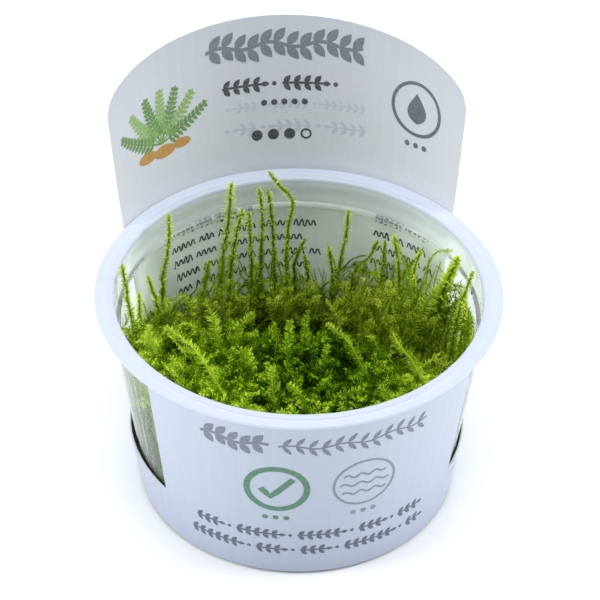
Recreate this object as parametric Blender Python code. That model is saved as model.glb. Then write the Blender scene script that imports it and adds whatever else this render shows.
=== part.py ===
"""A tissue-culture cup of feather-moss: an open, translucent round cup
with a broad flange, a card sleeve wrapped round it with a tall arched back
panel and a window at each side, and the moss that fills it, as one dense
cushion with taller feathery shoots standing out of it.

Metres, +Z up. The origin is on the cup's axis, on the underside of its base.
The front of the sleeve faces -Y and the back panel stands at +Y.
"""

from math import cos, hypot, pi, radians, sin, sqrt

import bmesh
import bpy
from mathutils import Vector

MM = 0.001

# ------------------------------------------------------------------ the cup
RIM_R = 50.0            # outer radius of the flange
RIM_TOP = 57.4          # height of the cup
CUP_R0 = 39.0           # outer radius of the wall, carried down to the table
CUP_TAPER = 0.131       # growth of the wall's radius per mm of height
WALL = 0.9              # wall thickness
FLOOR = 1.2             # floor thickness
FLANGE_Z = 56.3         # underside of the flange
FLANGE_LIP = 0.45       # radius of its rounded outer edge
LEDGE_Z = 49.4          # height of the small inward ledge under the collar
CUP_SEGMENTS = 80

# ---------------------------------------------------------------- the sleeve
CARD = 0.4              # thickness of the card
CARD_GAP = 0.35         # clearance between the card and the cup
CARD_Z0 = 0.6           # lower edge of the card
CARD_FRONT_TOP = 55.9   # upper edge of the front, tucked under the flange
WINDOW_Z0 = 15.3        # lower edge of both side windows
FRONT_HALF = 56.9       # half angle of the front of the card, degrees
FRONT_TURN = 0.8        # the card sits a little askew on the cup
PANEL_TURN = -0.7
PANEL_TAPER = 0.1965    # the back leans out, to pass outside the flange
PANEL_HALF_57 = 55.5    # half angle of the back panel at the flange
PANEL_NARROWING = 0.11  # degrees of half angle lost per mm of height
PANEL_TOP = 98.6
PANEL_SHOULDER = 85.6
PANEL_ARCH_HALF = 52.4
PANEL_SKEW = 0.017      # mm per degree: one shoulder is a little higher

# ------------------------------------------------------------------ the moss
MOSS_GAP = 0.35
MOSS_LEVEL = 34.5       # cushion height in the middle of the cup
MOSS_TILT = 5.5         # higher on the left, lower on the right
MOSS_BACK_DROP = 11.5   # lower again towards the back wall

for old in list(bpy.data.objects):
    bpy.data.objects.remove(old, do_unlink=True)


def material(name, colour, roughness, metallic=0.0, **extra):
    mat = bpy.data.materials.new(name)
    mat.use_nodes = True
    shader = mat.node_tree.nodes["Principled BSDF"]
    shader.inputs["Base Color"].default_value = (*colour, 1.0)
    shader.inputs["Roughness"].default_value = roughness
    shader.inputs["Metallic"].default_value = metallic
    for key, value in extra.items():
        shader.inputs[key.replace("_", " ")].default_value = value
    return mat


def make_object(name, bm, mat, sharp=35.0):
    mesh = bpy.data.meshes.new(name)
    bm.normal_update()
    bm.to_mesh(mesh)
    bm.free()
    mesh.materials.append(mat)
    mesh.shade_smooth()
    mesh.set_sharp_from_angle(angle=radians(sharp))
    obj = bpy.data.objects.new(name, mesh)
    bpy.context.scene.collection.objects.link(obj)
    return obj


def smoothstep(t):
    t = min(1.0, max(0.0, t))
    return t * t * (3.0 - 2.0 * t)


# ------------------------------------------------------------------ the cup
def wall_out(z):
    return CUP_R0 + CUP_TAPER * z


def wall_in(z):
    return wall_out(z) - WALL


def arc(cx, cz, r, a0, a1, n):
    """Points of a circular corner in the (radius, height) plane, in degrees."""
    out = []
    for i in range(n):
        a = radians(a0 + (a1 - a0) * i / (n - 1))
        out.append((cx + r * cos(a), cz + r * sin(a)))
    return out


def cup_profile():
    """Section of the cup from the middle of its underside, up the outside,
    over the flange and down the inside to the middle of its floor."""
    foot = 1.1
    p = []
    p += arc(wall_out(foot) - foot, foot, foot, -90, -7, 4)
    p.append((wall_out(30.0), 30.0))
    p.append((wall_out(FLANGE_Z - 0.35), FLANGE_Z - 0.35))
    p.append((wall_out(FLANGE_Z) + 0.3, FLANGE_Z))
    # flange: flat underside, rounded outer lip, slightly dished top
    lip = FLANGE_LIP
    p += arc(RIM_R - lip, FLANGE_Z + lip, lip, -90, 75, 6)
    p.append((48.3, 56.98))
    p.append((47.05, 56.92))
    p.append((46.85, 57.12))
    p.append((46.1, RIM_TOP))
    # rounded inner edge and the collar below it
    p += arc(45.85, RIM_TOP - 0.75, 0.75, 75, 175, 4)
    p.append((wall_in(52.5) + 0.02, 52.5))
    p.append((wall_in(LEDGE_Z) + 0.05, LEDGE_Z + 1.0))
    p.append((wall_in(LEDGE_Z) - 0.65, LEDGE_Z + 0.55))
    p.append((wall_in(LEDGE_Z) - 0.9, LEDGE_Z))
    p.append((wall_in(LEDGE_Z) - 0.65, LEDGE_Z - 0.6))
    p.append((wall_in(LEDGE_Z - 1.4), LEDGE_Z - 1.4))
    p.append((wall_in(22.0), 22.0))
    p += arc(wall_in(2.3) - 1.2, FLOOR + 1.1, 1.2, -8, -90, 4)[:3]
    p.append((wall_in(2.3) - 1.3, FLOOR))
    return p


def revolve(profile, segments):
    """Turned body from a profile that starts and ends on the axis."""
    bm = bmesh.new()
    z_low, z_high = profile[0][1], profile[-1][1]
    rings = []
    for k in range(segments):
        a = 2 * pi * k / segments
        rings.append(
            [bm.verts.new((r * cos(a) * MM, r * sin(a) * MM, z * MM)) for r, z in profile]
        )
    low = bm.verts.new((0, 0, z_low * MM))
    high = bm.verts.new((0, 0, z_high * MM))
    for k in range(segments):
        a, b = rings[k], rings[(k + 1) % segments]
        for i in range(len(profile) - 1):
            bm.faces.new((a[i], b[i], b[i + 1], a[i + 1]))
        bm.faces.new((low, b[0], a[0]))
        bm.faces.new((a[-1], b[-1], high))
    return bm


cup_mat = material(
    "translucent_polypropylene", (0.90, 0.93, 0.95), 0.22, IOR=1.49, Transmission_Weight=0.6
)
make_object("cup", revolve(cup_profile(), CUP_SEGMENTS), cup_mat, 50.0)


# ---------------------------------------------------------------- the sleeve
def card_taper(phi):
    """Taper of the card at an angle from the front: it follows the cup round
    the front and leans further out round the back."""
    t = smoothstep((abs(phi) - 62.0) / 54.0)
    return CUP_TAPER + (PANEL_TAPER - CUP_TAPER) * t


def card_point(phi, z, lift=0.0):
    """Point on the card's inner face, or lift mm outside it."""
    r = CUP_R0 + CARD_GAP + card_taper(phi) * z + lift
    a = radians(phi)
    return Vector((r * sin(a), -r * cos(a), z)) * MM


def panel_half(z):
    return PANEL_HALF_57 - PANEL_NARROWING * (z - 57.0)


def panel_top(turn):
    """Height of the arch at an angle, in degrees, from the panel's middle."""
    t = min(1.0, abs(turn) / PANEL_ARCH_HALF)
    rise = (PANEL_TOP - PANEL_SHOULDER) * sqrt(max(0.0, 1.0 - t * t))
    return PANEL_SHOULDER + rise + PANEL_SKEW * turn


def build_sleeve():
    front_cols, panel_cols, side_cols = 26, 30, 14
    cols = []  # (angle, kind, place across the kind)
    for i in range(front_cols + 1):
        u = -1.0 + 2.0 * i / front_cols
        cols.append((FRONT_TURN + FRONT_HALF * u, "front", u))
    right0, right1 = FRONT_TURN + FRONT_HALF, 180.0 + PANEL_TURN - panel_half(WINDOW_Z0)
    for i in range(1, side_cols):
        cols.append((right0 + (right1 - right0) * i / side_cols, "side", 0.0))
    for i in range(panel_cols + 1):
        # columns crowd towards both side edges, where the arch falls steeply
        u = -cos(pi * i / panel_cols) * 0.62 + (-1.0 + 2.0 * i / panel_cols) * 0.38
        cols.append((180.0 + PANEL_TURN + panel_half(WINDOW_Z0) * u, "panel", u))
    left0 = 180.0 + PANEL_TURN + panel_half(WINDOW_Z0)
    left1 = 360.0 + FRONT_TURN - FRONT_HALF
    for i in range(1, side_cols):
        cols.append((left0 + (left1 - left0) * i / side_cols, "side", 0.0))

    def wrapped(phi):
        return phi - 360.0 if phi > 180.0 else phi

    def heights(kind, u):
        """Angle and height of each point of a column above the band."""
        out = []
        if kind == "front":
            for t in (0.5, 1.0):
                z = WINDOW_Z0 + (CARD_FRONT_TOP - WINDOW_Z0) * t
                out.append((FRONT_TURN + FRONT_HALF * u, z))
        elif kind == "panel":
            top = panel_top(u * PANEL_ARCH_HALF)
            for t in (0.25, 0.5, 0.75, 1.0):
                z = WINDOW_Z0 + (top - WINDOW_Z0) * t
                out.append((180.0 + PANEL_TURN + panel_half(z) * u, z))
        return out

    bm = bmesh.new()
    inner, outer = [], []
    for phi, kind, u in cols:
        path = [(phi, CARD_Z0), (phi, WINDOW_Z0)] + heights(kind, u)
        inner.append([bm.verts.new(card_point(wrapped(a), z)) for a, z in path])
        outer.append([bm.verts.new(card_point(wrapped(a), z, CARD)) for a, z in path])
    n = len(cols)
    for k in range(n):
        j = (k + 1) % n
        rows = min(len(inner[k]), len(inner[j])) - 1
        if cols[k][1] != cols[j][1]:
            rows = 1
        for i in range(rows):
            bm.faces.new((inner[k][i], inner[k][i + 1], inner[j][i + 1], inner[j][i]))
            bm.faces.new((outer[k][i], outer[j][i], outer[j][i + 1], outer[k][i + 1]))
    # close every open edge of the two skins with the card's thickness
    mate = {}
    for k in range(n):
        for a, b in zip(inner[k], outer[k]):
            mate[a] = b
    edges = [e for e in bm.edges if len(e.link_faces) == 1 and e.verts[0] in mate]
    for e in edges:
        a, b = e.verts
        loop = e.link_loops[0]
        if loop.vert is a:
            a, b = b, a
        # the side face runs against the inner skin's own direction
        bm.faces.new((a, b, mate[b], mate[a]))
    return bm


card_mat = material("printed_card", (0.80, 0.83, 0.90), 0.45)
make_object("label_sleeve", build_sleeve(), card_mat, 30.0)


# ------------------------------------------------------------------ the moss
def moss_height(x, y):
    """Height of the cushion's leafy surface above the table, in mm."""
    z = MOSS_LEVEL - MOSS_TILT * x / 42.0
    z -= MOSS_BACK_DROP * smoothstep((y - 6.0) / 32.0)
    z += 1.1 * sin(0.33 * x + 1.1) * cos(0.29 * y - 0.4)
    z += 0.7 * sin(0.52 * x - 0.45 * y + 2.0)
    z += 0.4 * sin(0.23 * x + 0.71 * y)
    edge = hypot(x, y) / 42.0
    return z - 1.8 * smoothstep((edge - 0.82) / 0.18)


def build_cushion():
    """Closed lumpy body that fills the cup up to moss_height."""
    segments, top_rings = 48, 10
    sides = (0.0, 0.35, 0.7, 1.0)
    z0 = FLOOR + MOSS_GAP

    def limit(z):
        return wall_in(z) - MOSS_GAP - 0.15

    bm = bmesh.new()
    columns = []
    for k in range(segments):
        a = 2 * pi * k / segments
        ca, sa = cos(a), sin(a)
        rim_z = moss_height(41.0 * ca, 41.0 * sa) - 1.0
        path = [(limit(2.0) - 2.2, z0), (limit(3.0) - 0.4, z0 + 1.2)]
        path += [(limit(4.0 + (rim_z - 4.0) * t), 4.0 + (rim_z - 4.0) * t) for t in sides]
        r_edge = limit(rim_z)
        for i in range(1, top_rings):
            r = r_edge * (1.0 - (i / top_rings)) ** 0.92
            path.append((r, moss_height(r * ca, r * sa)))
        columns.append([bm.verts.new((r * ca * MM, r * sa * MM, z * MM)) for r, z in path])
    low = bm.verts.new((0, 0, z0 * MM))
    high = bm.verts.new((0, 0, moss_height(0, 0) * MM))
    for k in range(segments):
        a, b = columns[k], columns[(k + 1) % segments]
        for i in range(len(a) - 1):
            bm.faces.new((a[i], b[i], b[i + 1], a[i + 1]))
        bm.faces.new((low, b[0], a[0]))
        bm.faces.new((a[-1], b[-1], high))
    return bm


moss_mat = material("feather_moss", (0.16, 0.34, 0.02), 0.6)
make_object("moss_cushion", build_cushion(), moss_mat, 60.0)

# Each tall shoot: its name, its foot (x, y) on the cushion, the points that its
# stem passes and its tip (x, y, z), all in mm, and the spread of its leaves.
SHOOTS = (
    ("shoot_back_broad", (-17.5, 30.0), [(-16, 30.5, 43), (-14.6, 31, 54)], (-13.9, 32, 66.5), 1.2),
    ("shoot_back_broad_twin", (-13.8, 27.5), [(-13.9, 28, 36), (-12.4, 29, 51)], (-11.4, 29.5, 60), 0.9),
    ("shoot_back_slim", (-9.6, 28.6), [(-9.0, 29, 38), (-9.3, 30, 50)], (-9.6, 30.5, 58), 0.8),
    ("shoot_back_pair_left", (-7.0, 32.4), [(-6.2, 33, 45), (-5.9, 34, 55)], (-6.8, 34.5, 62.5), 0.9),
    ("shoot_back_pair_right", (-2.6, 32.0), [(-2.9, 33, 41), (-3.4, 34, 52)], (-4.4, 34.5, 61.8), 0.9),
    ("shoot_back_hooked", (0.4, 28.4), [(0.0, 30.5, 42), (0.6, 31.5, 53), (1.6, 32, 60.5), (-1.2, 32.5, 64)], (-4.3, 33, 68.8), 0.9),
    ("shoot_back_low_left", (-22.0, 30.0), [(-21.5, 31.0, 33)], (-19.6, 32.2, 42), 0.8),
    ("shoot_back_low_middle", (6.9, 31.6), [(6.1, 32.4, 33)], (4.9, 33.0, 41.5), 0.7),
    ("shoot_back_low_branch", (3.6, 33.4), [(2.4, 34.2, 35), (3.4, 34.8, 41)], (5.2, 35.0, 45.2), 0.7),
    ("shoot_right_back_upright", (11.6, 31.4), [(14.0, 32.2, 39), (15.4, 33.2, 46.5)], (16.1, 34.0, 54.5), 1.0),
    ("shoot_right_back_short", (10.8, 28.2), [(11.7, 28.8, 37)], (10.7, 29.6, 46.5), 0.8),
    ("shoot_right_back_arched", (15.4, 30.0), [(17.6, 30.4, 37), (21.4, 30.6, 42)], (23.4, 31.0, 46.6), 0.7),
    ("shoot_right_back_slim", (23.0, 28.4), [(24.6, 29.2, 38)], (25.2, 30.2, 47), 0.7),
    ("shoot_right_plume", (28.0, 24.6), [(28.6, 26.6, 39)], (27.2, 28.6, 49.5), 1.1),
    ("shoot_right_fan", (30.6, 21.6), [(31.6, 23.6, 39)], (33.6, 25.0, 47.5), 1.0),
    ("shoot_right_broad", (35.4, 12.6), [(37.0, 13.2, 38), (38.4, 12.6, 46)], (40.7, 11.0, 55.8), 1.3),
    ("shoot_right_rim", (38.6, 3.6), [(40.3, 4.4, 42), (42.0, 4.6, 50)], (43.6, 5.0, 56), 0.8),
    ("shoot_right_edge", (40.3, -0.6), [(41.0, 0.8, 40)], (41.8, 1.4, 49), 0.7),
    ("shoot_left_tall", (-32.2, 22.0), [(-32.0, 24.4, 43), (-30.2, 26.0, 53)], (-30.0, 27.0, 61.6), 1.1),
    ("shoot_left_slim", (-32.4, 16.6), [(-34.2, 17.6, 42)], (-36.0, 18.0, 49.5), 0.7),
    ("shoot_left_rim", (-39.4, 6.4), [(-41.0, 7.8, 47)], (-42.6, 8.4, 61.3), 0.9),
    ("shoot_left_short", (-37.0, 10.4), [(-38.5, 10.6, 43)], (-38.6, 10.8, 50), 0.8),
)


def catmull(points, n):
    """n + 1 points evenly spread along a smooth curve through the points."""
    ends = [points[0] * 2 - points[1]] + points + [points[-1] * 2 - points[-2]]
    out = []
    spans = len(points) - 1
    for i in range(n + 1):
        t = spans * i / n
        k = min(int(t), spans - 1)
        t -= k
        a, b, c, d = ends[k : k + 4]
        out.append(
            0.5 * (2 * b + (c - a) * t + (2 * a - 5 * b + 4 * c - d) * t**2 + (3 * b - a - 3 * c + d) * t**3)
        )
    return out


def build_shoot(foot, middle, tip, spread):
    """Slender closed tube: the outline of a shoot, drawn in to a blunt tip."""
    x, y = foot
    points = [Vector((x, y, moss_height(x, y) + 1.1))]
    points += [Vector(p) for p in middle] + [Vector(tip)]
    count = 4 + 3 * (len(points) - 1)
    line = catmull(points, count)
    sides = 7
    bm = bmesh.new()
    rings = []
    side = Vector((1.0, 0.0, 0.0))
    for i, p in enumerate(line):
        ahead = line[min(i + 1, count)] - line[max(i - 1, 0)]
        ahead.normalize()
        across = (side - ahead * side.dot(ahead)).normalized()
        other = ahead.cross(across)
        t = i / count
        r = spread * (0.62 + 0.38 * smoothstep(t / 0.25)) * (1.0 - 0.72 * smoothstep((t - 0.72) / 0.28))
        ring = []
        for s in range(sides):
            a = 2 * pi * s / sides
            ring.append(bm.verts.new((p + across * (r * cos(a)) + other * (r * sin(a))) * MM))
        rings.append(ring)
    for i in range(count):
        for s in range(sides):
            n = (s + 1) % sides
            bm.faces.new((rings[i][s], rings[i][n], rings[i + 1][n], rings[i + 1][s]))
    bm.faces.new(list(reversed(rings[0])))
    bm.faces.new(rings[-1])
    return bm


for name, foot, middle, tip, spread in SHOOTS:
    make_object(name, build_shoot(foot, middle, tip, spread), moss_mat, 60.0)
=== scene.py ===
from math import cos, degrees, hypot, pi, radians, sin, sqrt

import bmesh
import bpy
import numpy as np
from mathutils import Matrix, Vector


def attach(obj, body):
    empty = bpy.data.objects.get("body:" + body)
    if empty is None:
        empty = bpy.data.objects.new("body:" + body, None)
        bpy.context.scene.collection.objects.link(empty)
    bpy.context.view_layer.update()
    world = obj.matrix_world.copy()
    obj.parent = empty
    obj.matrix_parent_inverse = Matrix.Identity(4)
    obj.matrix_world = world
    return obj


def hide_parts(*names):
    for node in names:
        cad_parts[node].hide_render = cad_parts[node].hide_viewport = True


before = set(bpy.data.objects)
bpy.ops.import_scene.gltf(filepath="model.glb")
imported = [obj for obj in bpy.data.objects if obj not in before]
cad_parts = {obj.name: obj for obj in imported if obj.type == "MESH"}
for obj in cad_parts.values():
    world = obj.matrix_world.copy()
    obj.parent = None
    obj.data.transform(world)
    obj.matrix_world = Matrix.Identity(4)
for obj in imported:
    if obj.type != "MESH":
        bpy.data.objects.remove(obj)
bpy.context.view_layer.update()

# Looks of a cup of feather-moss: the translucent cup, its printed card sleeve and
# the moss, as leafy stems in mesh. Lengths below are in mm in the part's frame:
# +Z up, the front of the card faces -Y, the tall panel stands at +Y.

MM = 0.001

# ------------------------------------------------------------ sizes of the part
CARD = 0.4
CARD_R0 = 39.35
CUP_TAPER, PANEL_TAPER = 0.131, 0.1965
PANEL_TURN = -0.7
WALL_R0 = 38.1          # inner radius of the cup's wall, carried down to the table
FLOOR_TOP = 1.2


def smoothstep(t):
    t = np.clip(t, 0.0, 1.0)
    return t * t * (3.0 - 2.0 * t)


def wall_in(z):
    return WALL_R0 + CUP_TAPER * z


def card_taper(phi):
    return CUP_TAPER + (PANEL_TAPER - CUP_TAPER) * smoothstep((abs(phi) - 62.0) / 54.0)


def card_point(phi, z, lift):
    """Point at an angle from the front (degrees), a height, and lift mm outside
    the card's inner face."""
    turn = (phi + 180.0) % 360.0 - 180.0
    r = CARD_R0 + card_taper(turn) * z + lift
    a = radians(phi)
    return (r * sin(a), -r * cos(a), z)


def moss_height(x, y):
    z = 34.5 - 5.5 * x / 42.0
    z = z - 11.5 * smoothstep((y - 6.0) / 32.0)
    z = z + 1.1 * np.sin(0.33 * x + 1.1) * np.cos(0.29 * y - 0.4)
    z = z + 0.7 * np.sin(0.52 * x - 0.45 * y + 2.0)
    z = z + 0.4 * np.sin(0.23 * x + 0.71 * y)
    return z - 1.8 * smoothstep((np.hypot(x, y) / 42.0 - 0.82) / 0.18)


# ------------------------------------------------------------------ the camera
camera_data = bpy.data.cameras.new("camera")
camera_data.lens = 172.4
camera_data.sensor_width = 36.0
camera_data.clip_start, camera_data.clip_end = 0.05, 20.0
camera = bpy.data.objects.new("camera", camera_data)
bpy.context.scene.collection.objects.link(camera)
right = Vector((0.994881, -0.100327, 0.012071))
up = Vector((0.054506, 0.633382, 0.771917))
back = right.cross(up)
turned = Matrix((right, up, back)).transposed().to_4x4()
camera.matrix_world = Matrix.Translation(Vector((-59.516, -539.091, 500.777)) * MM) @ turned
bpy.context.scene.camera = camera


# --------------------------------------------------------------- material tools
class Tree:
    """A material and short calls to build its nodes."""

    def __init__(self, name):
        self.mat = bpy.data.materials.new(name)
        self.mat.use_nodes = True
        self.nt = self.mat.node_tree
        self.nt.nodes.clear()
        self.out = self.nt.nodes.new("ShaderNodeOutputMaterial")

    def add(self, kind, inputs=None, **settings):
        n = self.nt.nodes.new("ShaderNode" + kind)
        for k, v in settings.items():
            setattr(n, k, v)
        for k, v in (inputs or {}).items():
            self.put(n.inputs[k], v)
        return n

    def put(self, socket, value):
        if isinstance(value, bpy.types.NodeSocket):
            self.nt.links.new(value, socket)
        elif isinstance(value, (tuple, list)) and len(value) == 3 and socket.type == "RGBA":
            socket.default_value = (*value, 1.0)
        else:
            socket.default_value = value

    def noise(self, vector, scale, detail=2.0, roughness=0.5, distortion=0.0):
        return self.add(
            "TexNoise",
            {"Vector": vector, "Scale": scale, "Detail": detail, "Roughness": roughness, "Distortion": distortion},
        ).outputs["Fac"]

    def maths(self, operation, a, b=0.0, clamp=False):
        n = self.add("Math", operation=operation, use_clamp=clamp)
        self.put(n.inputs[0], a)
        self.put(n.inputs[1], b)
        return n.outputs[0]

    def remap(self, value, a, b, c, d):
        n = self.add("MapRange", {"Value": value, "From Min": a, "From Max": b, "To Min": c, "To Max": d})
        return n.outputs["Result"]

    def mix(self, factor, a, b, blend="MIX"):
        n = self.add("Mix", data_type="RGBA", blend_type=blend)
        self.put(n.inputs["Factor"], factor)
        self.put(n.inputs[6], a)
        self.put(n.inputs[7], b)
        return n.outputs[2]

    def ramp(self, factor, stops):
        n = self.add("ValToRGB", {"Fac": factor})
        ramp = n.color_ramp
        while len(ramp.elements) < len(stops):
            ramp.elements.new(0.5)
        for e, (place, colour) in zip(ramp.elements, stops):
            e.position = place
            e.color = (*colour, 1.0)
        return n.outputs["Color"]

    def place(self):
        return self.add("TexCoord").outputs["Object"]

    def bump(self, height, strength, distance):
        return self.add(
            "Bump", {"Height": height, "Strength": strength, "Distance": distance}
        ).outputs["Normal"]

    def surface(self, shader):
        self.nt.links.new(shader, self.out.inputs["Surface"])


def srgb(text):
    """Linear colour of a six-digit hex code."""
    out = []
    for i in (0, 2, 4):
        c = int(text[i : i + 2], 16) / 255.0
        out.append(c / 12.92 if c <= 0.04045 else ((c + 0.055) / 1.055) ** 2.4)
    return tuple(out)


# -------------------------------------------------------------------- materials
def cup_material():
    """Translucent plastic: clear in the thin wall, frosted in the flange and rim.
    Part of the light from the lamps goes on through it to what it holds."""
    t = Tree("translucent_polypropylene_look")
    p = t.place()
    height = t.add("SeparateXYZ", {"Vector": p}).outputs["Z"]
    rise = []
    for low, high, most in ((0.0474, 0.0520, 0.42), (0.0540, 0.0568, 0.58)):
        rise.append(
            t.add(
                "MapRange",
                {"Value": height, "From Min": low, "From Max": high, "To Min": 0.0, "To Max": most},
                interpolation_type="SMOOTHSTEP",
            ).outputs["Result"]
        )
    frost = t.maths("ADD", rise[0], rise[1])
    cloud = t.noise(p, 42.0, 3.0, 0.55)
    fine = t.noise(p, 900.0, 2.0, 0.6)
    colour = t.mix(cloud, srgb("EDF3F6"), srgb("F6F9FB"))
    colour = t.mix(frost, colour, srgb("E9EEF4"))
    colour = t.mix(t.remap(height, 0.0558, 0.0570, 0.0, 1.0), colour, srgb("C8D0E1"))
    speck = t.maths("ADD", t.maths("MULTIPLY", cloud, 0.7), t.maths("MULTIPLY", fine, 0.3))
    rough = t.maths("ADD", t.remap(speck, 0.3, 0.7, 0.03, 0.08), t.maths("MULTIPLY", frost, 0.28))
    clear = t.maths("SUBTRACT", t.remap(speck, 0.3, 0.7, 0.995, 0.98), t.maths("MULTIPLY", frost, 0.90))
    wave = t.noise(p, 130.0, 2.0, 0.5)
    bumps = t.maths("ADD", t.maths("MULTIPLY", wave, 0.75), t.maths("MULTIPLY", fine, 0.25))
    solid = t.add(
        "BsdfPrincipled",
        {
            "Base Color": colour,
            "Roughness": rough,
            "IOR": 1.2,
            "Transmission Weight": clear,
            "Normal": t.bump(bumps, 0.12, 0.0004),
        },
    ).outputs[0]
    lamp = t.add("BsdfTransparent", {"Color": (0.97, 0.98, 0.97)}).outputs[0]
    through = t.maths("MULTIPLY", t.add("LightPath").outputs["Is Shadow Ray"], t.remap(frost, 0.0, 1.0, 1.0, 0.58))
    both = t.add("MixShader", {"Fac": through})
    t.put(both.inputs[1], solid)
    t.put(both.inputs[2], lamp)
    t.surface(both.outputs[0])
    # the plastic takes a little light along its depth, most at its edges
    depth = t.add("VolumeAbsorption", {"Color": (0.40, 0.55, 0.25, 1.0), "Density": 100.0})
    t.nt.links.new(depth.outputs[0], t.out.inputs["Volume"])
    return t.mat


def card_material():
    """Coated card: bluish-lavender white outside, greyer inside, with fibre, painted shade low on the outside and
    painted light on the inside below the rim.
    """
    t = Tree("printed_card_look")
    p = t.place()
    fibre = t.noise(p, 1600.0, 3.0, 0.65)
    cloud = t.noise(p, 28.0, 2.0, 0.5)
    outside = t.mix(cloud, srgb("B6C0D0"), srgb("C0C9D8"))
    height = t.add("SeparateXYZ", {"Vector": p}).outputs["Z"]
    inside = t.mix(cloud, srgb("D1D5DB"), srgb("DADDE3"))
    # painted light: below the rim, behind the cup's wall, the inside of the card is coloured near white to make up
    # for the light that the wall keeps from it
    inside = t.mix(t.remap(height, 0.0555, 0.0575, 1.0, 0.0), inside, srgb("FAFAF6"))
    inside = t.mix(t.remap(height, 0.066, 0.096, 0.0, 1.0), inside, srgb("BFC3CB"))
    # painted shade: the outside of the card is coloured darker, and a little bluer, towards its foot
    lower = t.remap(height, 0.0, 0.046, 0.84, 1.0)
    # which face of the card: the true normal against the direction from the axis
    geometry = t.add("NewGeometry")
    radial = t.add("VectorMath", operation="MULTIPLY")
    t.put(radial.inputs[0], p)
    radial.inputs[1].default_value = (1.0, 1.0, 0.0)
    unit = t.add("VectorMath", operation="NORMALIZE")
    t.put(unit.inputs[0], radial.outputs[0])
    facing = t.add("VectorMath", operation="DOT_PRODUCT")
    t.put(facing.inputs[0], geometry.outputs["True Normal"])
    t.put(facing.inputs[1], unit.outputs[0])
    side = facing.outputs["Value"]
    is_out = t.remap(side, -0.6, 0.6, 0.0, 1.0)
    painted_bottom_shade = t.add("CombineColor", {"Red": lower, "Green": lower, "Blue": t.remap(lower, 0.84, 1.0, 0.88, 1.0)})
    outside = t.mix(1.0, outside, painted_bottom_shade.outputs["Color"], "MULTIPLY")
    colour = t.mix(is_out, inside, outside)
    edge = t.maths("LESS_THAN", t.maths("ABSOLUTE", side), 0.6)
    colour = t.mix(edge, colour, srgb("F2F4F8"))
    colour = t.mix(t.remap(fibre, 0.35, 0.65, 0.0, 0.12), colour, srgb("B3BACB"))
    shader = t.add(
        "BsdfPrincipled",
        {
            "Base Color": colour,
            "Roughness": t.remap(fibre, 0.3, 0.7, 0.36, 0.52),
            "Specular IOR Level": 0.4,
            "Normal": t.bump(fibre, 0.10, 0.0002),
        },
    )
    t.surface(shader.outputs[0])
    return t.mat


def ink_material(name, code, vary=0.16):
    t = Tree(name)
    p = t.place()
    grain = t.noise(p, 2600.0, 2.0, 0.6)
    base = srgb(code)
    pale = tuple(c + (0.8 - c) * vary for c in base)
    colour = t.mix(t.remap(grain, 0.4, 0.75, 0.0, 1.0), base, pale)
    shader = t.add(
        "BsdfPrincipled",
        {"Base Color": colour, "Roughness": t.remap(grain, 0.3, 0.7, 0.35, 0.55), "Specular IOR Level": 0.4},
    )
    t.surface(shader.outputs[0])
    return t.mat


def moss_material():
    """Leaves and stems: the tone of each point goes from the dark foot of a
    stem to its bright tip, painted shade deep in the mat and painted light
    at its top, and warm turns it to olive and yellow."""
    t = Tree("feather_moss_look")
    tone = t.add("Attribute", attribute_name="tone").outputs["Fac"]
    warm = t.add("Attribute", attribute_name="warm").outputs["Fac"]
    p = t.place()
    cells = t.noise(p, 2400.0, 2.0, 0.6)
    tone = t.maths("ADD", tone, t.remap(cells, 0.3, 0.7, -0.06, 0.06))
    green = t.ramp(
        tone,
        [
            (0.0, (0.002, 0.012, 0.001)),
            (0.25, (0.012, 0.074, 0.002)),
            (0.5, (0.088, 0.270, 0.003)),
            (0.75, (0.320, 0.580, 0.006)),
            (1.0, (0.700, 0.860, 0.060)),
        ],
    )
    olive = t.ramp(
        tone,
        [
            (0.0, (0.014, 0.016, 0.002)),
            (0.25, (0.085, 0.090, 0.006)),
            (0.5, (0.270, 0.290, 0.012)),
            (0.75, (0.560, 0.600, 0.050)),
            (1.0, (0.880, 0.900, 0.240)),
        ],
    )
    colour = t.mix(warm, green, olive)
    shine = t.add(
        "BsdfPrincipled",
        {
            "Base Color": colour,
            "Roughness": t.remap(cells, 0.3, 0.7, 0.42, 0.60),
            "Specular IOR Level": 0.09,
            "Normal": t.bump(cells, 0.2, 0.00012),
        },
    ).outputs[0]
    glow = t.add("BsdfTranslucent", {"Color": t.mix(0.3, colour, (0.7, 0.9, 0.03))}).outputs[0]
    both = t.add("MixShader", {"Fac": 0.34})
    t.put(both.inputs[1], shine)
    t.put(both.inputs[2], glow)
    t.surface(both.outputs[0])
    return t.mat


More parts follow.
